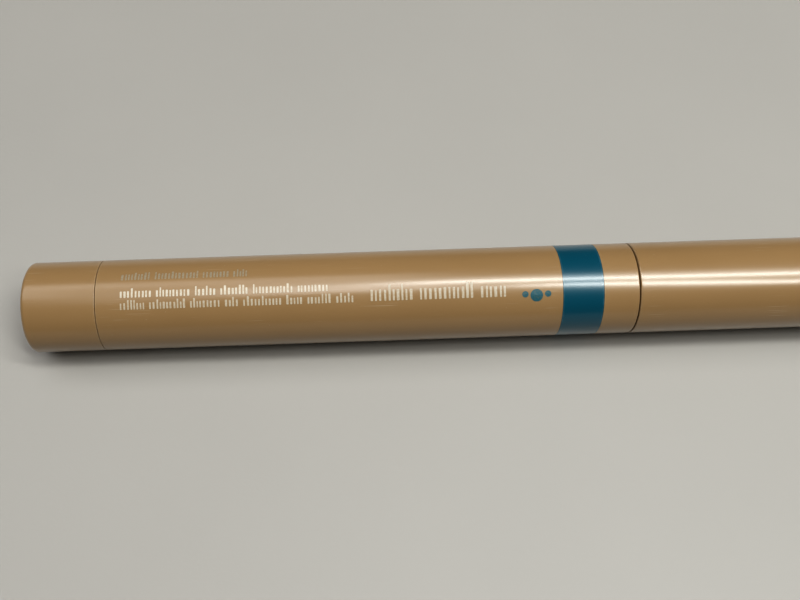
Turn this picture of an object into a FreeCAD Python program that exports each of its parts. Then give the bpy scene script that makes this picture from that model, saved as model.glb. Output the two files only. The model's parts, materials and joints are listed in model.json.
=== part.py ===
import FreeCAD, Part
import os
import Sketcher

# Twist-up colour stick with a pull-off cap.  All sizes in millimetres.
# The stick lies along X with its turning knob at -X and the cap end at +X.
# The origin is under the middle of the stick, on the surface it lies on.

os.makedirs("parts", exist_ok=True)
doc = FreeCAD.newDocument("ColourStick")

DIMENSIONS = [
    # outside, along the stick
    ("body_length", 128.0, "rear face to cap end face"),
    ("knob_length", 8.6, "visible length of the turning knob"),
    ("knob_seam", 0.06, "gap between knob and barrel"),
    ("barrel_length", 53.64, "barrel tube"),
    ("band_length", 4.74, "space taken by the colour band"),
    ("collar_length", 4.08, "visible front collar"),
    ("cap_seam", 0.12, "gap between collar and cap"),
    ("outer_radius", 5.4, "knob, barrel, band, collar and cap"),
    ("end_round", 0.55, "corner radius of knob and cap ends"),
    ("lip_round", 0.14, "small rounds along the cap seam"),
    ("seam_round", 0.04, "small rounds along the knob seam"),
    # gaps
    ("fit_gap", 0.03, "radial and axial gap of pieces fixed together"),
    ("run_gap", 0.05, "radial gap of turning and cap fits"),
    ("slide_gap", 0.08, "radial gap of the sliding cup"),
    # knob and bearing
    ("knob_end_wall", 0.9, "thickness of the knob end"),
    ("knob_bore", 4.7, "radius inside the knob shell"),
    ("core_recess", 0.05, "core flange behind the knob rim"),
    ("barrel_bore", 4.6, "radius inside the barrel tube"),
    ("journal_radius", 3.2, "journal of the knob core"),
    ("journal_length", 5.0, "journal ahead of the knob rim"),
    ("bearing_recess", 0.1, "bearing behind the barrel end"),
    ("bearing_length", 2.78, "bearing ring"),
    ("ring_position", 1.7, "friction ring ahead of the knob rim"),
    ("ring_section", 0.31, "section radius of the friction ring"),
    ("ring_centre", 2.93, "centre radius of the friction ring"),
    ("ring_groove_width", 0.72, "groove for the friction ring"),
    ("ring_groove_radius", 2.59, "bottom of the friction ring groove"),
    ("washer_thickness", 0.4, "thrust washer"),
    ("washer_radius", 4.3, "thrust washer outside"),
    ("clip_thickness", 0.5, "retaining clip"),
    ("clip_radius", 4.0, "retaining clip outside"),
    ("clip_opening", 3.4, "width of the gap in the clip"),
    ("clip_groove_radius", 2.8, "bottom of the clip groove"),
    # feed screw and nut
    ("root_flats", 2.4, "across the flats of the square screw root"),
    ("root_depth", 9.4, "length of the screw root in the core"),
    ("screw_collar_radius", 2.4, "collar that stops the nut"),
    ("screw_collar_length", 0.65, "collar that stops the nut"),
    ("screw_minor", 1.45, "minor radius of the screw"),
    ("screw_major", 1.9, "major radius of the screw"),
    ("thread_lead", 3.2, "advance in one turn"),
    ("thread_crest", 0.25, "half width of the thread at its crest"),
    ("thread_foot", 0.55, "half width of the thread at its foot"),
    ("thread_sink", 0.15, "thread foot sunk into the core"),
    ("thread_length", 35.0, "threaded length"),
    ("screw_tip", 0.6, "plain end of the screw"),
    ("nut_length", 3.8, "feed nut"),
    ("nut_radius", 2.57, "feed nut outside"),
    ("nut_key_width", 1.2, "keys on the nut"),
    ("nut_key_radius", 2.95, "keys on the nut"),
    ("nut_gap", 0.1, "between screw collar and nut"),
    ("nut_root_gap", 0.07, "nut bore to screw core"),
    ("nut_crest_gap", 0.08, "nut groove to thread crest"),
    ("nut_flank_gap", 0.09, "nut groove to thread flank, along the axis"),
    # push tube, guide and cup
    ("travel", 32.0, "feed of the colour stick"),
    ("tube_radius", 3.3, "push tube outside"),
    ("tube_bore", 2.15, "push tube inside"),
    ("tube_length", 36.67, "push tube"),
    ("tube_neck_radius", 3.0, "front end of the push tube, in the cup"),
    ("tube_neck_length", 4.37, "front end of the push tube, in the cup"),
    ("rib_radius", 3.9, "guide ribs"),
    ("rib_width", 1.0, "guide ribs"),
    ("rib_length", 6.0, "guide ribs"),
    ("rib_gap", 0.07, "side gap of a rib in its slot"),
    ("slot_radius", 4.0, "bottom of the guide slots"),
    ("guide_bore", 3.5, "bore of guide sleeve and nose"),
    ("guide_start", 0.3, "guide sleeve behind the nut"),
    ("guide_length", 46.1, "guide sleeve"),
    ("cup_wall", 1.0, "partition in the cup"),
    ("cup_depth", 5.1, "pocket for the colour stick"),
    ("cup_vent", 0.5, "radius of the vent in the partition"),
    ("stick_radius", 3.0, "colour stick"),
    ("stick_length", 42.0, "colour stick"),
    ("stick_tip_length", 4.6, "shaped tip of the colour stick"),
    ("stick_tip_radius", 1.1, "flat at the tip of the colour stick"),
    # front collar, nose and cap
    ("spigot_length", 6.67, "collar spigot in band and barrel"),
    ("neck_radius", 4.7, "neck under the cap"),
    ("neck_length", 7.5, "neck under the cap"),
    ("nose_root_radius", 3.95, "nose sleeve inside the collar"),
    ("nose_root_length", 17.9, "nose sleeve inside the collar"),
    ("nose_radius", 4.15, "nose at the neck"),
    ("nose_end_radius", 3.8, "nose at its mouth"),
    ("nose_length", 16.45, "nose ahead of the neck"),
    ("nose_round", 0.45, "rounded mouth"),
    ("mouth_radius", 3.12, "mouth of the nose"),
    ("mouth_land", 0.9, "straight part of the mouth"),
    ("mouth_taper", 0.8, "taper behind the mouth"),
    ("seal_position", 3.9, "neck ring ahead of the collar"),
    ("seal_section", 0.21, "section radius of the neck ring"),
    ("seal_centre", 4.52, "centre radius of the neck ring"),
    ("seal_groove_width", 0.52, "groove for the neck ring"),
    ("seal_groove_radius", 4.28, "bottom of the groove"),
    ("cap_end_wall", 1.3, "thickness of the cap end"),
    ("cap_step", 28.9, "depth of the wide bore of the cap"),
    ("cap_inner_radius", 4.45, "narrow bore of the cap"),
    ("cap_lead_in", 0.2, "chamfer inside the cap mouth"),
    ("liner_start", 0.5, "liner ahead of the neck"),
    ("liner_bore", 4.35, "liner bore"),
]


class Size:
    """A length together with the sheet expression that gives it."""

    def __init__(self, value, text):
        self.value = float(value)
        self.text = text

    def __add__(self, other):
        return Size(self.value + other.value, "(%s + %s)" % (self.text, other.text))

    def __sub__(self, other):
        return Size(self.value - other.value, "(%s - %s)" % (self.text, other.text))

    def __mul__(self, factor):
        if not isinstance(factor, Size):
            factor = Size(factor, str(factor))
        return Size(self.value * factor.value, "(%s * %s)" % (self.text, factor.text))

    def __truediv__(self, other):
        return Size(self.value / other.value, "(%s / %s)" % (self.text, other.text))


class Sheet:
    """Fills the spreadsheet and gives each alias as a Size."""

    def __init__(self, document, rows):
        table = document.addObject("Spreadsheet::Sheet", "Dim")
        for number, (alias, value, note) in enumerate(rows, start=1):
            table.set("A%d" % number, note)
            table.set("B%d" % number, str(value))
            table.setAlias("B%d" % number, alias)
            setattr(self, alias, Size(value, "Dim." + alias))


d = Sheet(doc, DIMENSIONS)
doc.recompute()
ZERO = Size(0, "0")
GUIDE_RIBS = 3
NUT_KEYS = 2
# Axial growth of a thread flank for each unit of depth.
THREAD_SLOPE = (d.thread_foot - d.thread_crest) / (d.screw_major - d.screw_minor)

# Stations along the stick, from the rear face.
barrel_rear = d.knob_length + d.knob_seam
band_rear = barrel_rear + d.barrel_length
collar_rear = band_rear + d.band_length
collar_front = collar_rear + d.collar_length
neck_front = collar_front + d.neck_length
nose_mouth = neck_front + d.nose_length
cap_mouth = collar_front + d.cap_seam
bearing_rear = barrel_rear + d.bearing_recess
bearing_front = bearing_rear + d.bearing_length
washer_rear = bearing_front + d.run_gap
clip_rear = washer_rear + d.washer_thickness + d.nut_gap
journal_front = d.knob_length + d.journal_length
screw_start = journal_front + d.screw_collar_length + d.fit_gap
nut_rear = screw_start + d.nut_gap
tube_front = nut_rear + d.tube_length
cup_partition = tube_front + d.fit_gap
stick_rear = cup_partition + d.cup_wall + d.fit_gap
guide_rear = nut_rear - d.guide_start
thread_centre = screw_start + d.thread_foot + d.thread_sink


def origin_feature(body, role):
    return [item for item in body.Origin.OriginFeatures if item.Role == role][0]


def new_body(label):
    """Empty body in the stick's own frame: X from the rear face, axis at its centre."""
    body = doc.addObject("PartDesign::Body", label)
    body.Label = label
    body.Placement = FreeCAD.Placement()
    body.setExpression("Placement.Base.x", "-Dim.body_length / 2")
    body.setExpression("Placement.Base.z", "Dim.outer_radius")
    return body


def pin_point(sketch, line, along, across):
    """Hold the start point of a line at sheet-driven coordinates."""
    for kind, axis, size in (("DistanceX", -2, along), ("DistanceY", -1, across)):
        if size is ZERO:
            sketch.addConstraint(Sketcher.Constraint("PointOnObject", line, 1, axis))
        else:
            index = sketch.addConstraint(Sketcher.Constraint(kind, -1, 1, line, 1, size.value))
            sketch.setExpression("Constraints[%d]" % index, size.text)


def new_sketch(body, name, role):
    sketch = body.newObject("Sketcher::SketchObject", name)
    sketch.AttachmentSupport = [(origin_feature(body, role), "")]
    sketch.MapMode = "FlatFace"
    return sketch


def polygon(sketch, corners):
    """Closed outline through sheet-driven corners."""
    count = len(corners)
    for index in range(count):
        ends = [corners[index], corners[(index + 1) % count]]
        points = [FreeCAD.Vector(along.value, across.value, 0) for along, across in ends]
        sketch.addGeometry(Part.LineSegment(points[0], points[1]))
    for index in range(count):
        sketch.addConstraint(Sketcher.Constraint("Coincident", index, 2, (index + 1) % count, 1))
    for index, (along, across) in enumerate(corners):
        pin_point(sketch, index, along, across)


def half_section(body, name, corners):
    sketch = new_sketch(body, name, "XY_Plane")
    polygon(sketch, corners)
    return sketch


def turn(body, name, corners):
    """Revolve a half section about the stick's axis."""
    sketch = half_section(body, name + "Section", corners)
    feature = body.newObject("PartDesign::Revolution", name)
    feature.Profile = sketch
    feature.ReferenceAxis = (sketch, ["H_Axis"])
    feature.Angle = 360
    doc.recompute()
    return feature


def groove(body, name, corners):
    """Cut a half section about the stick's axis."""
    sketch = half_section(body, name + "Section", corners)
    feature = body.newObject("PartDesign::Groove", name)
    feature.Profile = sketch
    feature.ReferenceAxis = (sketch, ["H_Axis"])
    feature.Angle = 360
    doc.recompute()
    return feature


def tube(body, name, rear, front, inner, outer):
    return turn(body, name, [(rear, inner), (rear, outer), (front, outer), (front, inner)])


def ring_edges(feature, station, radius):
    """Names of the circular edges of this radius at this station."""
    names = []
    for number, edge in enumerate(feature.Shape.Edges, start=1):
        curve = edge.Curve
        if not isinstance(curve, Part.Circle):
            continue
        same_place = abs(curve.Center.x - station.value) < 1e-4
        if same_place and abs(curve.Radius - radius.value) < 1e-4:
            names.append("Edge%d" % number)
    return names


def dress(body, kind, name, size, places):
    """Fillet or chamfer the circular edges found at the given stations."""
    base = body.Tip
    names = []
    for station, radius in places:
        names += ring_edges(base, station, radius)
    if len(names) < len(places):
        raise ValueError("%s: edges not found" % name)
    feature = body.newObject("PartDesign::" + kind, name)
    feature.Base = (base, names)
    feature.setExpression("Radius" if kind == "Fillet" else "Size", size.text)
    doc.recompute()
    return feature


def cross_section(body, name, station, width, low, high):
    """Rectangle across the stick, centred on its upright plane, from low to high."""
    sketch = new_sketch(body, name, "YZ_Plane")
    half = width.value / 2
    corners = [(-half, low.value), (half, low.value), (half, high.value), (-half, high.value)]
    for index in range(4):
        start = FreeCAD.Vector(corners[index][0], corners[index][1], 0)
        end = FreeCAD.Vector(corners[(index + 1) % 4][0], corners[(index + 1) % 4][1], 0)
        sketch.addGeometry(Part.LineSegment(start, end))
    for index in range(4):
        sketch.addConstraint(Sketcher.Constraint("Coincident", index, 2, (index + 1) % 4, 1))
    sketch.addConstraint(Sketcher.Constraint("Horizontal", 2))
    for line in (1, 3):
        sketch.addConstraint(Sketcher.Constraint("Vertical", line))
    sketch.addConstraint(Sketcher.Constraint("Symmetric", 0, 1, 0, 2, -2))
    wide = sketch.addConstraint(Sketcher.Constraint("DistanceX", 0, 1, 0, 2, width.value))
    sketch.setExpression("Constraints[%d]" % wide, width.text)
    for line, size in ((0, low), (2, high)):
        index = sketch.addConstraint(Sketcher.Constraint("DistanceY", -1, 1, line, 1, size.value))
        sketch.setExpression("Constraints[%d]" % index, size.text)
    sketch.setExpression(".AttachmentOffset.Base.z", station.text)
    doc.recompute()
    return sketch


def square_section(body, name, station, half):
    """Square across the stick, centred on its axis."""
    sketch = new_sketch(body, name, "YZ_Plane")
    minus = Size(-half.value, "-" + half.text)
    polygon(sketch, [(minus, minus), (half, minus), (half, half), (minus, half)])
    sketch.setExpression(".AttachmentOffset.Base.z", station.text)
    doc.recompute()
    return sketch


def extrude(body, kind, name, sketch, length):
    """Pad or pocket a cross section towards the cap end."""
    before = body.Tip.Shape.Volume
    feature = body.newObject("PartDesign::" + kind, name)
    feature.Profile = sketch
    feature.Reversed = kind == "Pocket"
    feature.setExpression("Length", length.text)
    doc.recompute()
    grown = feature.Shape.Volume - before
    if (grown > 0) != (kind == "Pad"):
        raise ValueError("%s: wrong direction" % name)
    return feature


def around(body, name, feature, count):
    """Repeat a feature evenly round the stick."""
    pattern = body.newObject("PartDesign::PolarPattern", name)
    pattern.Originals = [feature]
    pattern.Axis = (origin_feature(body, "X_Axis"), [""])
    pattern.Angle = 360
    pattern.Occurrences = count
    body.Tip = pattern
    doc.recompute()
    return pattern


def o_ring(label, station, centre, section):
    """Ring of round section about the stick's axis."""
    torus = doc.addObject("Part::Torus", label)
    torus.Label = label
    torus.setExpression("Radius1", centre.text)
    torus.setExpression("Radius2", section.text)
    torus.Placement = FreeCAD.Placement(FreeCAD.Vector(), FreeCAD.Rotation(FreeCAD.Vector(0, 1, 0), 90))
    torus.setExpression("Placement.Base.x", station.text + " - Dim.body_length / 2")
    torus.setExpression("Placement.Base.z", "Dim.outer_radius")
    return torus


def helix(body, kind, name, sketch, length):
    """Left-hand thread: turning the knob clockwise, seen from the rear, feeds forward."""
    feature = body.newObject("PartDesign::" + kind, name)
    feature.Profile = sketch
    feature.ReferenceAxis = (sketch, ["H_Axis"])
    feature.Mode = "pitch-height-angle"
    feature.LeftHanded = True
    feature.setExpression("Pitch", "Dim.thread_lead")
    feature.setExpression("Height", length.text)
    doc.recompute()
    return feature


# Knob shell: closed cup that is held to turn.
knob_shell = new_body("knob_shell")
turn(knob_shell, "KnobWall", [
    (ZERO, ZERO),
    (ZERO, d.outer_radius),
    (d.knob_length, d.outer_radius),
    (d.knob_length, d.knob_bore),
    (d.knob_end_wall, d.knob_bore),
    (d.knob_end_wall, ZERO),
])
dress(knob_shell, "Fillet", "KnobEndRound", d.end_round, [(ZERO, d.outer_radius)])
dress(knob_shell, "Fillet", "KnobSeamRound", d.seam_round, [(d.knob_length, d.outer_radius)])

# Knob core: plug in the shell, with the journal and the socket for the screw.
knob_core = new_body("knob_core")
core_front = d.knob_length - d.core_recess
turn(knob_core, "CoreBlank", [
    (d.knob_end_wall + d.fit_gap, ZERO),
    (d.knob_end_wall + d.fit_gap, d.knob_bore - d.fit_gap),
    (core_front, d.knob_bore - d.fit_gap),
    (core_front, d.journal_radius),
    (journal_front, d.journal_radius),
    (journal_front, ZERO),
])
ring_rear = d.knob_length + d.ring_position - d.ring_groove_width * 0.5
ring_front = ring_rear + d.ring_groove_width
groove(knob_core, "RingGroove", [
    (ring_rear, d.ring_groove_radius),
    (ring_rear, d.journal_radius + d.slide_gap),
    (ring_front, d.journal_radius + d.slide_gap),
    (ring_front, d.ring_groove_radius),
])
clip_groove_front = clip_rear + d.clip_thickness + d.fit_gap
groove(knob_core, "ClipGroove", [
    (clip_rear - d.fit_gap, d.clip_groove_radius),
    (clip_rear - d.fit_gap, d.journal_radius + d.slide_gap),
    (clip_groove_front, d.journal_radius + d.slide_gap),
    (clip_groove_front, d.clip_groove_radius),
])
socket_rear = journal_front - d.root_depth
socket_width = d.root_flats + d.fit_gap * 2
socket_half = socket_width * 0.5
socket_section = square_section(knob_core, "SocketSection", socket_rear, socket_half)
extrude(knob_core, "Pocket", "ScrewSocket", socket_section, d.root_depth + d.slide_gap)

# Feed screw: square root in the core, stop collar, left-hand thread.
feed_screw = new_body("feed_screw")
thread_end = thread_centre + d.thread_length
screw_end = thread_end + d.screw_tip
turn(feed_screw, "ScrewCore", [
    (journal_front + d.fit_gap, ZERO),
    (journal_front + d.fit_gap, d.screw_collar_radius),
    (screw_start, d.screw_collar_radius),
    (screw_start, d.screw_minor),
    (screw_end, d.screw_minor),
    (screw_end, ZERO),
])
root_start = socket_rear + d.fit_gap
root_section = square_section(feed_screw, "RootSection", root_start, d.root_flats * 0.5)
extrude(feed_screw, "Pad", "ScrewRoot", root_section, d.root_depth)
sunk_half = d.thread_foot + d.thread_sink * THREAD_SLOPE
thread_section = half_section(feed_screw, "ThreadSection", [
    (thread_centre - sunk_half, d.screw_minor - d.thread_sink),
    (thread_centre - d.thread_crest, d.screw_major),
    (thread_centre + d.thread_crest, d.screw_major),
    (thread_centre + sunk_half, d.screw_minor - d.thread_sink),
])
helix(feed_screw, "AdditiveHelix", "Thread", thread_section, d.thread_length)

# Rear bearing: ring fixed in the barrel.
rear_bearing = new_body("rear_bearing")
journal_bore = d.journal_radius + d.run_gap
barrel_fit = d.barrel_bore - d.fit_gap
tube(rear_bearing, "BearingRing", bearing_rear, bearing_front, journal_bore, barrel_fit)
dress(rear_bearing, "Chamfer", "BearingLeadIn", d.cap_lead_in, [
    (bearing_rear, journal_bore),
    (bearing_front, journal_bore),
])

# Thrust washer, retaining clip and friction ring on the journal.
thrust_washer = new_body("thrust_washer")
washer_front = washer_rear + d.washer_thickness
tube(thrust_washer, "WasherRing", washer_rear, washer_front, d.journal_radius + d.fit_gap, d.washer_radius)

retaining_clip = new_body("retaining_clip")
clip_front = clip_rear + d.clip_thickness
tube(retaining_clip, "ClipRing", clip_rear, clip_front, d.clip_groove_radius + d.fit_gap, d.clip_radius)
clip_cut = cross_section(retaining_clip, "ClipCut", clip_rear, d.clip_opening, d.root_flats * 0.5, d.outer_radius)
extrude(retaining_clip, "Pocket", "ClipOpening", clip_cut, d.clip_thickness)

friction_ring = o_ring("friction_ring", d.knob_length + d.ring_position, d.ring_centre, d.ring_section)

# Barrel shell.
barrel_shell = new_body("barrel_shell")
tube(barrel_shell, "BarrelTube", barrel_rear, band_rear, d.barrel_bore, d.outer_radius)
dress(barrel_shell, "Fillet", "BarrelSeamRound", d.seam_round, [(barrel_rear, d.outer_radius)])

# Colour band: ring held between barrel and collar.
colour_band = new_body("colour_band")
tube(colour_band, "BandRing", band_rear + d.fit_gap, collar_rear - d.fit_gap, d.barrel_bore, d.outer_radius)

# Front collar: spigot in the barrel, visible ring, neck for the cap.
front_collar = new_body("front_collar")
spigot_rear = collar_rear - d.spigot_length
collar_bore = d.nose_root_radius + d.fit_gap
turn(front_collar, "CollarBlank", [
    (spigot_rear, collar_bore),
    (spigot_rear, barrel_fit),
    (collar_rear, barrel_fit),
    (collar_rear, d.outer_radius),
    (collar_front, d.outer_radius),
    (collar_front, d.neck_radius),
    (neck_front, d.neck_radius),
    (neck_front, collar_bore),
])
seal_rear = collar_front + d.seal_position - d.seal_groove_width * 0.5
seal_front = seal_rear + d.seal_groove_width
groove(front_collar, "SealGroove", [
    (seal_rear, d.seal_groove_radius),
    (seal_rear, d.neck_radius + d.slide_gap),
    (seal_front, d.neck_radius + d.slide_gap),
    (seal_front, d.seal_groove_radius),
])
dress(front_collar, "Fillet", "CollarLip", d.lip_round, [(collar_front, d.outer_radius)])
dress(front_collar, "Chamfer", "NeckLeadIn", d.cap_lead_in, [(neck_front, d.neck_radius)])

neck_seal_ring = o_ring("neck_seal_ring", collar_front + d.seal_position, d.seal_centre, d.seal_section)

# Guide sleeve: fixed in the barrel, three slots keep the push tube from turning.
guide_sleeve = new_body("guide_sleeve")
tube(guide_sleeve, "GuideTube", guide_rear, guide_rear + d.guide_length, d.guide_bore, barrel_fit)
slot_section = cross_section(
    guide_sleeve, "SlotSection", guide_rear, d.rib_width + d.rib_gap * 2, d.tube_neck_radius, d.slot_radius)
slot = extrude(
    guide_sleeve, "Pocket", "Slot", slot_section, d.guide_start + d.travel + d.rib_length + d.nut_gap)
around(guide_sleeve, "Slots", slot, GUIDE_RIBS)

# Push tube: carries the nut, slides in the guide sleeve.
push_tube = new_body("push_tube")
nut_pocket = d.nut_radius + d.fit_gap
pocket_front = nut_rear + d.nut_length + d.fit_gap
neck_rear = tube_front - d.tube_neck_length
turn(push_tube, "PushTube", [
    (nut_rear, nut_pocket),
    (nut_rear, d.tube_radius),
    (neck_rear, d.tube_radius),
    (neck_rear, d.tube_neck_radius),
    (tube_front, d.tube_neck_radius),
    (tube_front, d.tube_bore),
    (pocket_front, d.tube_bore),
    (pocket_front, nut_pocket),
])
key_section = cross_section(
    push_tube, "KeySlotSection", nut_rear, d.nut_key_width + d.fit_gap * 2, d.tube_bore,
    d.nut_key_radius + d.fit_gap)
key_slot = extrude(push_tube, "Pocket", "KeySlot", key_section, d.nut_length + d.fit_gap)
around(push_tube, "KeySlots", key_slot, NUT_KEYS)
rib_section = cross_section(
    push_tube, "RibSection", nut_rear, d.rib_width, d.tube_neck_radius, d.rib_radius)
rib = extrude(push_tube, "Pad", "Rib", rib_section, d.rib_length)
around(push_tube, "Ribs", rib, GUIDE_RIBS)

# Feed nut: keyed in the rear of the push tube.
feed_nut = new_body("feed_nut")
nut_front = nut_rear + d.nut_length
nut_bore = d.screw_minor + d.nut_root_gap
tube(feed_nut, "NutRing", nut_rear, nut_front, nut_bore, d.nut_radius)
nut_key = cross_section(
    feed_nut, "NutKeySection", nut_rear, d.nut_key_width, d.tube_bore, d.nut_key_radius)
key = extrude(feed_nut, "Pad", "NutKey", nut_key, d.nut_length)
around(feed_nut, "NutKeys", key, NUT_KEYS)
groove_top = d.screw_major + d.nut_crest_gap
top_half = d.thread_crest + d.nut_flank_gap - d.nut_crest_gap * THREAD_SLOPE
low_half = d.thread_foot + d.nut_flank_gap
groove_centre = thread_centre - d.thread_lead
nut_thread = half_section(feed_nut, "NutThreadSection", [
    (groove_centre - low_half, d.screw_minor),
    (groove_centre - top_half, groove_top),
    (groove_centre + top_half, groove_top),
    (groove_centre + low_half, d.screw_minor),
])
helix(feed_nut, "SubtractiveHelix", "NutThread", nut_thread, d.thread_lead * 3)

# Stick cup: skirt over the push tube, partition with vent, pocket for the stick.
stick_cup = new_body("stick_cup")
cup_radius = d.guide_bore - d.slide_gap
skirt_rear = neck_rear + d.fit_gap
skirt_bore = d.tube_neck_radius + d.fit_gap
pocket_rear = cup_partition + d.cup_wall
pocket_bore = d.stick_radius + d.fit_gap
cup_front = pocket_rear + d.cup_depth
turn(stick_cup, "CupBlank", [
    (skirt_rear, skirt_bore),
    (skirt_rear, cup_radius),
    (cup_front, cup_radius),
    (cup_front, pocket_bore),
    (pocket_rear, pocket_bore),
    (pocket_rear, d.cup_vent),
    (cup_partition, d.cup_vent),
    (cup_partition, skirt_bore),
])

# Colour stick with a shaped tip.
colour_stick = new_body("colour_stick")
stick_front = stick_rear + d.stick_length
turn(colour_stick, "StickBlank", [
    (stick_rear, ZERO),
    (stick_rear, d.stick_radius),
    (stick_front - d.stick_tip_length, d.stick_radius),
    (stick_front, d.stick_tip_radius),
    (stick_front, ZERO),
])
dress(colour_stick, "Fillet", "TipShoulder", d.stick_tip_length * 0.5, [
    (stick_front - d.stick_tip_length, d.stick_radius),
])
dress(colour_stick, "Fillet", "TipRound", d.stick_tip_radius * 0.6, [(stick_front, d.stick_tip_radius)])

# Nose sleeve: guides the stick and the cup out through the mouth.
nose_sleeve = new_body("nose_sleeve")
nose_rear = neck_front - d.nose_root_length
mouth_rear = nose_mouth - d.mouth_land
turn(nose_sleeve, "NoseBlank", [
    (nose_rear, d.guide_bore),
    (nose_rear, d.nose_root_radius),
    (neck_front + d.fit_gap, d.nose_root_radius),
    (neck_front + d.fit_gap, d.nose_radius),
    (nose_mouth, d.nose_end_radius),
    (nose_mouth, d.mouth_radius),
    (mouth_rear, d.mouth_radius),
    (mouth_rear - d.mouth_taper, d.guide_bore),
])
dress(nose_sleeve, "Fillet", "MouthRound", d.nose_round, [(nose_mouth, d.nose_end_radius)])

# Cap shell: closed end, wide bore at the mouth for the neck and the liner.
cap_shell = new_body("cap_shell")
cap_bore = d.neck_radius + d.run_gap
cap_floor = d.body_length - d.cap_end_wall
step = cap_mouth + d.cap_step
turn(cap_shell, "CapWall", [
    (cap_mouth, cap_bore),
    (cap_mouth, d.outer_radius),
    (d.body_length, d.outer_radius),
    (d.body_length, ZERO),
    (cap_floor, ZERO),
    (cap_floor, d.cap_inner_radius),
    (step, d.cap_inner_radius),
    (step, cap_bore),
])
dress(cap_shell, "Fillet", "CapEndRound", d.end_round, [(d.body_length, d.outer_radius)])
dress(cap_shell, "Fillet", "CapLip", d.lip_round, [(cap_mouth, d.outer_radius)])
dress(cap_shell, "Chamfer", "CapLeadIn", d.cap_lead_in, [(cap_mouth, cap_bore)])

# Cap liner: sealing sleeve in the wide bore of the cap.
cap_liner = new_body("cap_liner")
tube(cap_liner, "LinerTube", neck_front + d.liner_start, step - d.fit_gap, d.liner_bore, cap_bore - d.fit_gap)

PIECES = [
    knob_shell, knob_core, feed_screw, rear_bearing, thrust_washer, retaining_clip, friction_ring,
    barrel_shell, colour_band, front_collar, neck_seal_ring, guide_sleeve,
    push_tube, feed_nut, stick_cup, colour_stick, nose_sleeve, cap_shell, cap_liner,
]

doc.recompute()
for item in doc.Objects:
    if "Invalid" in item.State or "Error" in item.State:
        raise ValueError("%s is not sound" % item.Name)
for piece in PIECES:
    shape = piece.Shape
    if shape.isNull() or not shape.isValid() or len(shape.Solids) != 1:
        raise ValueError("%s has no sound solid" % piece.Label)
    box = shape.BoundBox
    print("%-16s %9.3f mm3  x %8.3f %8.3f" % (piece.Label, shape.Volume, box.XMin, box.XMax))
    shape.exportStep("parts/%s.step" % piece.Label)
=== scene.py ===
import json
import math
import random

import bmesh
import bpy
from mathutils import Matrix, Vector


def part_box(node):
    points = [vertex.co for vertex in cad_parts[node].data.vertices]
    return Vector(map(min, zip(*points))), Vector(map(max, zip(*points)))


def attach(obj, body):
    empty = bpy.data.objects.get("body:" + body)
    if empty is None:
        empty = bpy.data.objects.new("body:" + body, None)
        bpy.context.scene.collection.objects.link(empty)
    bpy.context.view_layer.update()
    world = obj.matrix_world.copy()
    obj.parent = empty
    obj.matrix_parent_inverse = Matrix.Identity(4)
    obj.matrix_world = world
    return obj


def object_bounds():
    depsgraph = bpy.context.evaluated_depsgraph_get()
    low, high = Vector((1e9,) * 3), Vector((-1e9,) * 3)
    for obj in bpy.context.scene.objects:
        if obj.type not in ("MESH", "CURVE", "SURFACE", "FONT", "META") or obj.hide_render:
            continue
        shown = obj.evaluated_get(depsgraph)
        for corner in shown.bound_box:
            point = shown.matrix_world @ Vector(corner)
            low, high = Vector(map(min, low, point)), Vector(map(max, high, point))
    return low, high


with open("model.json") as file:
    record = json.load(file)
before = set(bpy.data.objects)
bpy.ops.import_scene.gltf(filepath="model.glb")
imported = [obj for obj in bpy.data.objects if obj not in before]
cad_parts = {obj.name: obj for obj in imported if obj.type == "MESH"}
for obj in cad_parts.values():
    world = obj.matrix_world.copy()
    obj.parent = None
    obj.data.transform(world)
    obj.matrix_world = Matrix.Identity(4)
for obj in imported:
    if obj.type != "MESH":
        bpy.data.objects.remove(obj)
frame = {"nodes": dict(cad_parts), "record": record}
cad_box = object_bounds()

MM = 0.001
NODES = frame["nodes"]
scene = bpy.context.scene
scene.view_settings.view_transform = "Standard"
scene.view_settings.look = "High Contrast"

low, high = cad_box
RADIUS = (high[2] - low[2]) / 2
AXIS_Z = (high[2] + low[2]) / 2
REAR_X = low[0]
barrel_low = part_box("barrel_shell")[0]
band_low, band_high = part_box("colour_band")
VIEW_ELEVATION = math.radians(62)


# ---------------------------------------------------------------- materials

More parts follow.
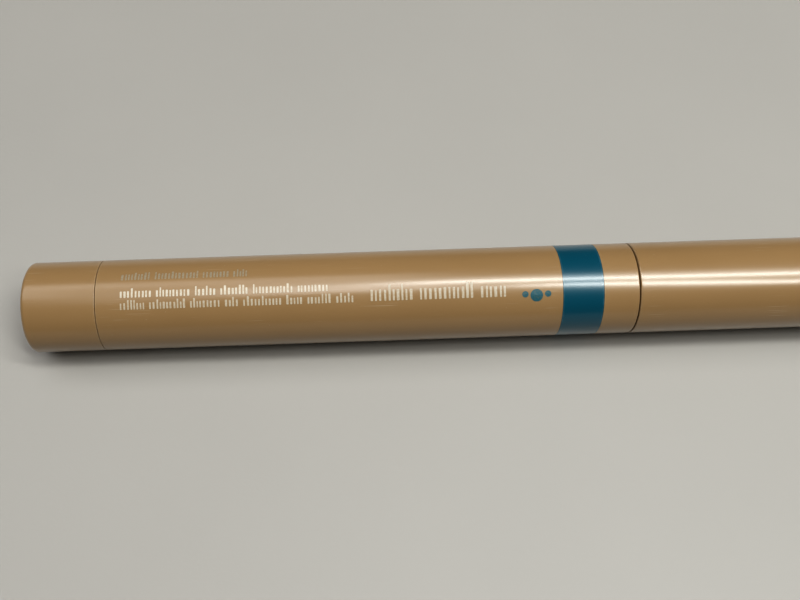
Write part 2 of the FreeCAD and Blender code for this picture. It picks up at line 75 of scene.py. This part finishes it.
class Paint:
    """A Principled material with helpers for its procedural nodes."""

    def __init__(self, name, **sockets):
        self.material = bpy.data.materials.new(name)
        self.material.use_nodes = True
        self.tree = self.material.node_tree
        self.shader = self.tree.nodes["Principled BSDF"]
        self.spot = self.tree.nodes.new("ShaderNodeTexCoord").outputs["Object"]
        self.set(**sockets)

    def set(self, **sockets):
        """Plain values for the shader's inputs, named with _ for a space."""
        for name, value in sockets.items():
            self.shader.inputs[name.replace("_", " ")].default_value = value

    def put(self, socket, value):
        """Give an input either a link or a plain value."""
        if isinstance(value, bpy.types.NodeSocket):
            self.tree.links.new(value, socket)
        elif value is not None:
            socket.default_value = value

    def place(self, stretch):
        """Object coordinates stretched by a factor along each axis."""
        node = self.tree.nodes.new("ShaderNodeMapping")
        node.inputs["Scale"].default_value = stretch
        self.tree.links.new(self.spot, node.inputs["Vector"])
        return node.outputs["Vector"]

    def noise(self, size, detail=2.0, rough=0.5, spot=None):
        """Noise from 0 to 1 with features of about this size in metres."""
        node = self.tree.nodes.new("ShaderNodeTexNoise")
        self.tree.links.new(spot or self.spot, node.inputs["Vector"])
        node.inputs["Scale"].default_value = 1 / size
        node.inputs["Detail"].default_value = detail
        node.inputs["Roughness"].default_value = rough
        return node.outputs["Fac"]

    def cells(self, size):
        """Distance to the nearest of scattered points about this far apart."""
        node = self.tree.nodes.new("ShaderNodeTexVoronoi")
        self.tree.links.new(self.spot, node.inputs["Vector"])
        node.inputs["Scale"].default_value = 1 / size
        return node.outputs["Distance"]

    def span(self, value, start, end, low=0.0, high=1.0):
        """Value from start to end turned into low to high, held beyond them."""
        node = self.tree.nodes.new("ShaderNodeMapRange")
        node.interpolation_type = "SMOOTHSTEP"
        self.put(node.inputs["Value"], value)
        node.inputs["From Min"].default_value = start
        node.inputs["From Max"].default_value = end
        node.inputs["To Min"].default_value = low
        node.inputs["To Max"].default_value = high
        return node.outputs["Result"]

    def math(self, operation, first, second=None):
        """One arithmetic step on links or plain values."""
        node = self.tree.nodes.new("ShaderNodeMath")
        node.operation = operation
        self.put(node.inputs[0], first)
        self.put(node.inputs[1], second)
        return node.outputs["Value"]

    def blend(self, factor, first, second):
        """First colour at factor 0, second colour at factor 1."""
        node = self.tree.nodes.new("ShaderNodeMix")
        node.data_type = "RGBA"
        self.put(node.inputs["Factor"], factor)
        self.put(node.inputs[6], first)
        self.put(node.inputs[7], second)
        return node.outputs[2]

    def along(self):
        """Position along the stick."""
        node = self.tree.nodes.new("ShaderNodeSeparateXYZ")
        self.tree.links.new(self.spot, node.inputs["Vector"])
        return node.outputs["X"]

    def rim(self, stations, width):
        """1 at these places along the stick, falling to 0 over the width."""
        total = None
        position = self.along()
        for station in stations:
            away = self.math("ABSOLUTE", self.math("SUBTRACT", position, station))
            near = self.span(away, 0.0, width, 1.0, 0.0)
            total = near if total is None else self.math("MAXIMUM", total, near)
        return total

    def bump(self, height, depth, strength=1.0, normal=None):
        """Surface normal from a height, on top of an earlier normal if there is one."""
        node = self.tree.nodes.new("ShaderNodeBump")
        node.inputs["Strength"].default_value = strength
        node.inputs["Distance"].default_value = depth
        self.tree.links.new(height, node.inputs["Height"])
        if normal is not None:
            self.tree.links.new(normal, node.inputs["Normal"])
        return node.outputs["Normal"]

    def link(self, name, value):
        """Feed a shader input from a node."""
        self.tree.links.new(value, self.shader.inputs[name])


def moulded(name, colour, shade, dust, gloss, rims):
    """Coated moulded plastic: faint flow mottling, fine scratches, dust and worn rims."""
    p = Paint(name, IOR=1.5, Specular_IOR_Level=0.18, Coat_Weight=1.0, Coat_Roughness=0.21)
    flow = p.noise(14 * MM, 3.0, 0.55, p.place((0.35, 1.0, 1.0)))
    grain = p.noise(0.35 * MM, 2.0)
    tone = p.blend(p.span(flow, 0.3, 0.7), colour, shade)
    tone = p.blend(p.span(grain, 0.35, 0.75, 0.0, 0.12), tone, shade)

    # Hair scratches: long thin streaks, only where a slow noise allows them.
    streak = p.noise(0.1 * MM, 0.0, 0.5, p.place((0.02, 1.0, 1.0)))
    patch = p.span(p.noise(5 * MM, 1.0), 0.52, 0.66)
    scratch = p.math("MULTIPLY", p.span(streak, 0.72, 0.78), patch)

    # Dust: small specks in a few of the cells.
    speck = p.span(p.cells(0.9 * MM), 0.035, 0.06, 1.0, 0.0)
    chosen = p.span(p.noise(2.3 * MM, 0.0), 0.56, 0.6)
    speck = p.math("MULTIPLY", speck, chosen)

    # Wear: broken pale lines at the rims.
    worn = p.rim(rims, 0.25 * MM)
    worn = p.math("MULTIPLY", worn, p.span(p.noise(0.5 * MM, 2.0), 0.35, 0.7, 0.15, 0.8))
    marks = p.math("MULTIPLY", p.math("MAXIMUM", scratch, worn), 0.28)
    tone = p.blend(marks, tone, dust)
    tone = p.blend(p.math("MULTIPLY", speck, 0.5), tone, dust)
    p.link("Base Color", tone)

    # Scratches, dust and wear are duller than the plastic around them.
    rough = p.span(p.noise(5 * MM, 2.0), 0.3, 0.7, gloss - 0.025, gloss + 0.035)
    for mark, dulling in ((scratch, 0.14), (speck, 0.4), (worn, 0.05)):
        rough = p.math("ADD", rough, p.math("MULTIPLY", mark, dulling))
    p.link("Roughness", rough)

    wave = p.bump(p.noise(2.2 * MM, 1.0), 0.004 * MM, 0.5)
    fine = p.bump(grain, 0.0006 * MM, 0.6, wave)
    p.link("Normal", p.bump(scratch, -0.001 * MM, 0.5, fine))
    return p.material


def plain_plastic(name, colour, shade, gloss):
    """Uncoated inner plastic: soft mottling and a fine matte grain."""
    p = Paint(name, IOR=1.49, Subsurface_Weight=0.12, Subsurface_Scale=0.6 * MM)
    cloud = p.noise(5 * MM, 3.0)
    grain = p.noise(0.25 * MM, 2.0)
    tone = p.blend(p.span(cloud, 0.3, 0.7), colour, shade)
    ring = p.noise(0.3 * MM, 1.0, 0.5, p.place((1.0, 0.04, 0.04)))
    p.link("Base Color", p.blend(p.span(ring, 0.6, 0.8, 0.0, 0.3), tone, shade))
    p.link("Roughness", p.span(grain, 0.3, 0.7, gloss - 0.05, gloss + 0.07))
    p.link("Normal", p.bump(ring, 0.003 * MM, 0.5, p.bump(grain, 0.002 * MM, 0.7)))
    return p.material


def rubber(name):
    """Black rubber with a fine dull grain."""
    p = Paint(name, IOR=1.52)
    grain = p.noise(0.12 * MM, 3.0)
    p.link("Base Color", p.blend(grain, (0.012, 0.012, 0.013, 1), (0.03, 0.03, 0.032, 1)))
    p.link("Roughness", p.span(grain, 0.3, 0.7, 0.5, 0.72))
    p.link("Normal", p.bump(grain, 0.004 * MM, 0.8))
    return p.material


def rolled_steel(name):
    """Bright strip steel with fine rolling lines."""
    p = Paint(name, Metallic=1.0)
    line = p.noise(0.08 * MM, 2.0, 0.5, p.place((1.0, 1.0, 0.05)))
    p.link("Base Color", p.blend(line, (0.42, 0.42, 0.43, 1), (0.6, 0.6, 0.6, 1)))
    p.link("Roughness", p.span(line, 0.3, 0.7, 0.22, 0.4))
    p.link("Normal", p.bump(line, 0.001 * MM, 0.6))
    return p.material


def wax(name):
    """Pressed colour stick: creamy, with drag lines and tiny pits, painted darker inside as shade.
    """
    p = Paint(name, IOR=1.44, Subsurface_Weight=0.25, Subsurface_Scale=0.8 * MM)
    p.set(Subsurface_Radius=(1.0, 0.45, 0.3))
    cloud = p.noise(2.5 * MM, 4.0, 0.6)
    drag = p.noise(0.18 * MM, 2.0, 0.5, p.place((0.05, 1.0, 1.0)))
    pit_and_shade = p.span(p.cells(0.5 * MM), 0.05, 0.13, 1.0, 0.0)
    pit_and_shade = p.math("MULTIPLY", pit_and_shade, p.span(p.noise(1.2 * MM, 1.0), 0.5, 0.6))
    tone = p.blend(cloud, (0.2, 0.112, 0.052, 1), (0.25, 0.145, 0.07, 1))
    # Painted shade: the pits are painted darker to stand for the shade inside them; the same mask
    # also dents them.
    tone = p.blend(p.math("MULTIPLY", pit_and_shade, 0.6), tone, (0.12, 0.06, 0.027, 1))
    p.link("Base Color", tone)
    p.link("Roughness", p.span(drag, 0.3, 0.7, 0.38, 0.55))
    normal = p.bump(drag, 0.006 * MM, 0.6)
    p.link("Normal", p.bump(pit_and_shade, -0.02 * MM, 0.8, normal))
    return p.material


def ink(name, colour, faded):
    """Printed ink: slightly uneven, with thin spots."""
    p = Paint(name, IOR=1.5)
    wear = p.span(p.noise(0.22 * MM, 3.0), 0.42, 0.7)
    p.link("Base Color", p.blend(wear, colour, faded))
    p.link("Roughness", p.span(wear, 0.0, 1.0, 0.38, 0.5))
    p.link("Normal", p.bump(p.noise(0.1 * MM, 2.0), 0.002 * MM, 0.5))
    return p.material


TAN = (0.273, 0.178, 0.087, 1)
TAN_SHADE = (0.25, 0.162, 0.078, 1)
TAN_DUST = (0.42, 0.345, 0.25, 1)
TEAL = (0.003, 0.07, 0.105, 1)
TEAL_SHADE = (0.002, 0.06, 0.092, 1)
TEAL_DUST = (0.14, 0.25, 0.28, 1)
BAND_EDGES = [band_low[0], band_high[0]]
SEAMS = [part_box("knob_shell")[1][0], barrel_low[0], band_high[0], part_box("cap_shell")[0][0]]
tan = moulded("tan_plastic", TAN, TAN_SHADE, TAN_DUST, 0.36, SEAMS)
teal = moulded("teal_plastic", TEAL, TEAL_SHADE, TEAL_DUST, 0.35, BAND_EDGES)
inner = plain_plastic("inner_white", (0.5, 0.485, 0.44, 1), (0.46, 0.445, 0.4, 1), 0.45)
acetal = plain_plastic("acetal", (0.44, 0.44, 0.42, 1), (0.4, 0.4, 0.38, 1), 0.33)
nose = plain_plastic("nose_plastic", (0.36, 0.3, 0.215, 1), (0.325, 0.27, 0.19, 1), 0.4)
black = rubber("black_rubber")
steel = rolled_steel("spring_steel")
stick = wax("colour_wax")
LOOKS = {
    "tan_plastic": tan, "teal_plastic": teal, "inner_white": inner, "acetal": acetal,
    "nose_plastic": nose, "black_rubber": black, "spring_steel": steel, "colour_wax": stick,
}
for entry in frame["record"]["subparts"]:
    mesh = NODES[entry["node"]].data
    mesh.materials.clear()
    mesh.materials.append(LOOKS[entry["material_slot"]])


# ---------------------------------------------------------------- printed marks

INK_TOP = RADIUS + 0.012 * MM
INK_FOOT = RADIUS - 0.01 * MM
ARC_STEP = 0.22 * MM
CORNER_SHARE = 0.3
CORNER_STEPS = (0.0, 0.12, 0.35, 1.0)
TALL_CHANCE = 0.22
GROUP_SIZES = (4, 13)
GROUP_GAP = 2.2


def mesh_object(name, mesh, material):
    """Object made of a finished mesh, which is freed."""
    data = bpy.data.meshes.new(name)
    mesh.to_mesh(data)
    mesh.free()
    data.materials.append(material)
    made = bpy.data.objects.new(name, data)
    scene.collection.objects.link(made)
    return made


def on_barrel(x, around, radius):
    """Point on the barrel: around is the arc above the middle of the camera's side."""
    angle = VIEW_ELEVATION + around / RADIUS
    return Vector((x, -radius * math.cos(angle), AXIS_Z + radius * math.sin(angle)))


def add_strip(mesh, left, right, arcs):
    """Raised patch: between left and right edges at each arc, with walls to the barrel."""
    rows = []
    for start, end, arc in zip(left, right, arcs):
        row = [mesh.verts.new(on_barrel(x, arc, INK_TOP)) for x in (start, end)]
        foot = [mesh.verts.new(on_barrel(x, arc, INK_FOOT)) for x in (start, end)]
        rows.append((row, foot))
    for (row, foot), (next_row, next_foot) in zip(rows, rows[1:]):
        mesh.faces.new((row[0], row[1], next_row[1], next_row[0]))
        mesh.faces.new((foot[0], next_foot[0], next_foot[1], foot[1]))
        mesh.faces.new((row[0], next_row[0], next_foot[0], foot[0]))
        mesh.faces.new((row[1], foot[1], next_foot[1], next_row[1]))
    first_row, first_foot = rows[0]
    last_row, last_foot = rows[-1]
    mesh.faces.new((first_row[0], first_foot[0], first_foot[1], first_row[1]))
    mesh.faces.new((last_row[0], last_row[1], last_foot[1], last_foot[0]))


def add_block(mesh, x, width, middle, height):
    """Block with rounded corners, cut often enough to follow the barrel's curve."""
    corner = min(width, height) * CORNER_SHARE
    corner_arcs = [-height / 2 + corner * step for step in CORNER_STEPS]
    corner_insets = [corner * (1 - math.sqrt(1 - (1 - step) ** 2)) for step in CORNER_STEPS]
    straight = height - 2 * corner
    cuts = max(1, math.ceil(straight / ARC_STEP))
    arcs = corner_arcs + [corner_arcs[-1] + straight * cut / cuts for cut in range(1, cuts)]
    insets = corner_insets + [0.0] * (cuts - 1)
    arcs += [-arc for arc in reversed(corner_arcs)]
    insets += reversed(corner_insets)
    left = [x + inset for inset in insets]
    right = [x + width - inset for inset in insets]
    add_strip(mesh, left, right, [middle + arc for arc in arcs])


def mark_object(name, mesh, material):
    """Printed mark that rides on the barrel."""
    mesh.normal_update()
    piece = mesh_object(name, mesh, material)
    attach(piece, "barrel")


def add_row(mesh, chance, start, end, foot, height, tall, width, gap):
    """Row of thin plain bars in groups, in place of a printed line."""
    x = start
    while x < end - width:
        for _ in range(chance.randint(*GROUP_SIZES)):
            bar = width * chance.uniform(0.8, 1.3)
            if x + bar > end:
                return
            top = tall if chance.random() < TALL_CHANCE else height * chance.uniform(0.92, 1.0)
            add_block(mesh, x, bar, foot + top / 2, top)
            x += bar + gap * chance.uniform(0.75, 1.25)
        x += gap * GROUP_GAP


def add_dot(mesh, x, arc, radius, steps=32):
    """Raised round dot on the barrel."""
    turns = [2 * math.pi * step / steps for step in range(steps)]
    edge = [(x + radius * math.cos(turn), arc + radius * math.sin(turn)) for turn in turns]
    top = [mesh.verts.new(on_barrel(*point, INK_TOP)) for point in edge]
    foot = [mesh.verts.new(on_barrel(*point, INK_FOOT)) for point in edge]
    hub = mesh.verts.new(on_barrel(x, arc, INK_TOP))
    under = mesh.verts.new(on_barrel(x, arc, INK_FOOT))
    for step in range(steps):
        after = (step + 1) % steps
        mesh.faces.new((hub, top[step], top[after]))
        mesh.faces.new((under, foot[after], foot[step]))
        mesh.faces.new((top[step], foot[step], foot[after], top[after]))


chance = random.Random(7)
white_ink = ink("ink_white", (0.52, 0.47, 0.385, 1), (0.42, 0.36, 0.27, 1))
soft_ink = ink("ink_soft_white", (0.42, 0.37, 0.29, 1), (0.36, 0.29, 0.2, 1))
grey_ink = ink("ink_grey", (0.27, 0.235, 0.175, 1), (0.22, 0.18, 0.12, 1))
teal_ink = ink("ink_teal", (0.01, 0.085, 0.11, 1), (0.05, 0.1, 0.1, 1))

# Rows, in mm: name, ink, start ahead of the barrel's rear, length, foot, height, tall, width, gap.
PRINTED_ROWS = (
    ("print_grey_row", grey_ink, 2.9, 14.7, 2.95, 0.85, 1.05, 0.2, 0.19),
    ("print_white_row", white_ink, 2.9, 24.1, 0.78, 0.8, 1.1, 0.2, 0.19),
    ("print_soft_row", soft_ink, 2.9, 26.8, -0.6, 0.8, 1.1, 0.2, 0.19),
    ("print_large_row", soft_ink, 31.6, 16.0, -0.55, 1.35, 1.9, 0.25, 0.27),
)
for name, material, start, length, *sizes in PRINTED_ROWS:
    rows = bmesh.new()
    first = barrel_low[0] + start * MM
    add_row(rows, chance, first, first + length * MM, *[size * MM for size in sizes])
    mark_object(name, rows, material)

# Three plain dots ahead of the rows, in mm: place ahead of the barrel's rear, arc, radius.
DOTS = ((49.3, -0.35, 0.36), (50.6, -0.5, 0.72), (51.9, -0.35, 0.36))
dots = bmesh.new()
for place, arc, radius in DOTS:
    add_dot(dots, barrel_low[0] + place * MM, arc * MM, radius * MM)
mark_object("print_teal_dots", dots, teal_ink)


# ---------------------------------------------------------------- floor, light, camera

FLOOR_SIZE = 3.2
FLOOR_TONE = (0.315, 0.303, 0.284, 1)
FLOOR_PALE = (0.335, 0.322, 0.302, 1)
paper = Paint("floor_paper", IOR=1.45, Roughness=0.55)
paper.link("Base Color", paper.blend(paper.noise(30 * MM, 3.0), FLOOR_TONE, FLOOR_PALE))
paper.link("Normal", paper.bump(paper.noise(0.5 * MM, 3.0), 0.02 * MM, 0.4))
floor_mesh = bmesh.new()
bmesh.ops.create_grid(floor_mesh, x_segments=8, y_segments=8, size=FLOOR_SIZE / 2)
floor = mesh_object("floor", floor_mesh, paper.material)

LIGHT_HEIGHT = 0.6
VIEW_FOOT = REAR_X + 37.27 * MM
centre = Vector((VIEW_FOOT, 0, AXIS_Z))


def overhead(name, x, angle, size, watts, turn=0.0, colour=(1, 1, 1)):
    """Level panel over the stick, seen from its axis at this angle above the camera's side."""
    data = bpy.data.lights.new(name, "AREA")
    data.shape = "RECTANGLE"
    data.size, data.size_y = size
    data.energy = watts
    data.color = colour
    light = bpy.data.objects.new(name, data)
    scene.collection.objects.link(light)
    y = -LIGHT_HEIGHT / math.tan(math.radians(angle))
    above = Matrix.Translation(centre + Vector((x, y, LIGHT_HEIGHT)))
    light.matrix_world = above @ Matrix.Rotation(math.radians(turn), 4, "Z")


# Two long tubes make the double line along the cap, with a soft glow behind them.
TUBE_COLOUR = (0.98, 1.0, 0.97)
overhead("tube_front", 0.315, 68.5, (0.38, 0.05), 1.72, -34, TUBE_COLOUR)
overhead("tube_back", 0.27, 87.0, (0.46, 0.055), 1.88, -15, TUBE_COLOUR)
overhead("glow_back", 0.27, 92.0, (0.46, 0.16), 0.5, -15)
overhead("window_left", -0.17, 85.0, (0.16, 0.42), 0.16)
overhead("window_mid", -0.005, 83.0, (0.17, 0.2), 0.5)
overhead("soft_top", -0.38, 102.0, (0.9, 0.4), 2.2)

world = bpy.data.worlds.new("studio")
world.use_nodes = True
background = world.node_tree.nodes["Background"]
background.inputs["Color"].default_value = (1.0, 0.98, 0.95, 1)
background.inputs["Strength"].default_value = 0.04
scene.world = world

# The camera looks at the axis above VIEW_FOOT. Its shift lets the cap run out of the frame.
VIEW_DISTANCE = 102.7 * MM
VIEW_ROLL = math.radians(-1.92)
VIEW_TILT = math.radians(-0.1818)
camera_data = bpy.data.cameras.new("camera")
camera_data.sensor_width = 36
camera_data.lens = 38.29
camera_data.shift_x = 0.06925
camera_data.clip_start = 0.005
camera = bpy.data.objects.new("camera", camera_data)
scene.collection.objects.link(camera)
toward = Vector((0, -math.cos(VIEW_ELEVATION), math.sin(VIEW_ELEVATION)))
right = Vector((1, 0, 0))
facing = Matrix.Rotation(VIEW_TILT, 3, right) @ toward
up = facing.cross(right).normalized()
roll = Matrix.Rotation(VIEW_ROLL, 3, facing)
camera.matrix_world = (
    Matrix.Translation(centre + toward * VIEW_DISTANCE)
    @ Matrix((roll @ right, roll @ up, facing)).transposed().to_4x4()
)
scene.camera = camera

bpy.context.view_layer.update()
